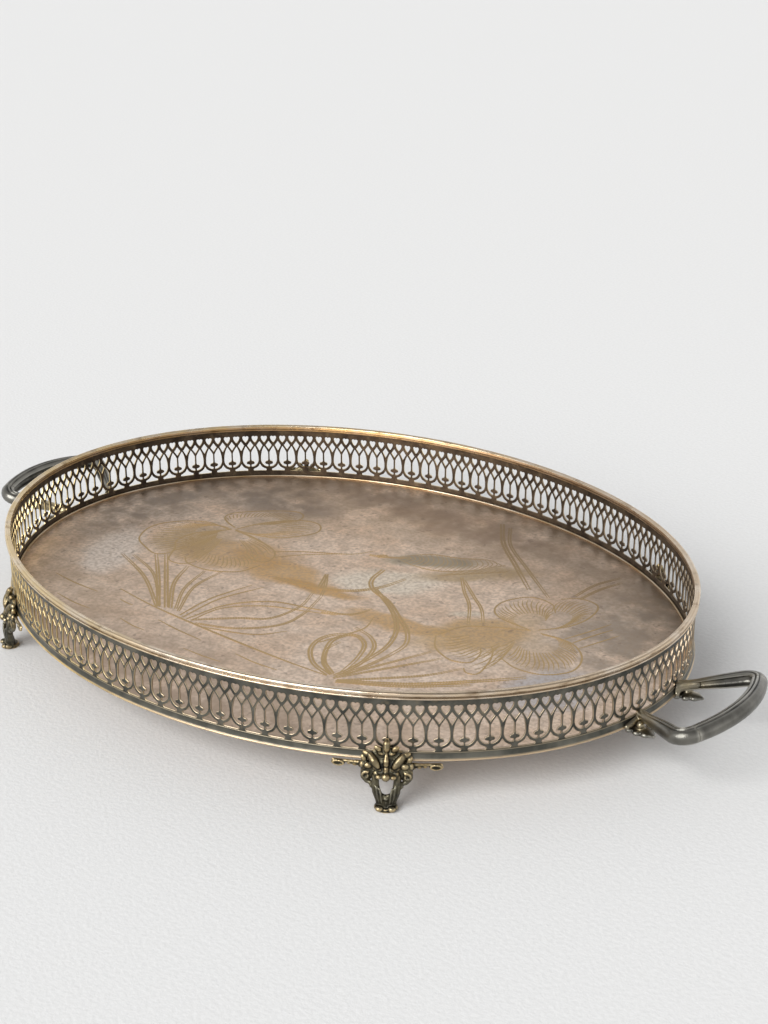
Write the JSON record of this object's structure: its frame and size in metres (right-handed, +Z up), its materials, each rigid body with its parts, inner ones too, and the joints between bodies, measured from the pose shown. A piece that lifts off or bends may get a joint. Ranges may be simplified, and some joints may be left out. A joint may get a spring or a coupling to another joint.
{
  "type": "oval gallery tray",
  "caption": "Oval tray with a flat engraved plate, a low pierced gallery under a moulded rail, cast mask feet and a fixed bail handle at each end.",
  "frame": {"origin": "on the table under the middle of the tray, level with the soles of the feet", "axes": "+X along the tray through both handles, +Y across it, +Z up"},
  "size_m": [0.4888, 0.31, 0.0575],
  "materials": {
    "silver_plate": "tarnished silver plate, satin",
    "oxidised_gallery": "dark oxidised, satin",
    "rail_brass": "worn plate over brass, satin",
    "wire_brass": "dull brass",
    "antique_brass": "antique brass, dark recesses",
    "dark_pewter": "dark pewter, satin"
  },
  "bodies": {
    "root": {"floor_plate": "silver_plate", "gallery_back_right": "oxidised_gallery", "gallery_back_left": "oxidised_gallery", "gallery_front_left": "oxidised_gallery", "gallery_front_right": "oxidised_gallery", "top_rail": "rail_brass", "edge_wire": "wire_brass", "inner_wire": "wire_brass", "foot_back_right": "antique_brass", "foot_back_left": "antique_brass", "foot_front_left": "antique_brass", "foot_front_right": "antique_brass", "foot_rivets": "wire_brass", "bracket_right_back": "dark_pewter", "bracket_right_front": "dark_pewter", "bracket_left_back": "dark_pewter", "bracket_left_front": "dark_pewter", "arm_right_back": "dark_pewter", "arm_right_front": "dark_pewter", "arm_left_back": "dark_pewter", "arm_left_front": "dark_pewter", "grip_right": "dark_pewter", "grip_left": "dark_pewter", "bracket_rivets": "wire_brass"}
  },
  "joints": []
}
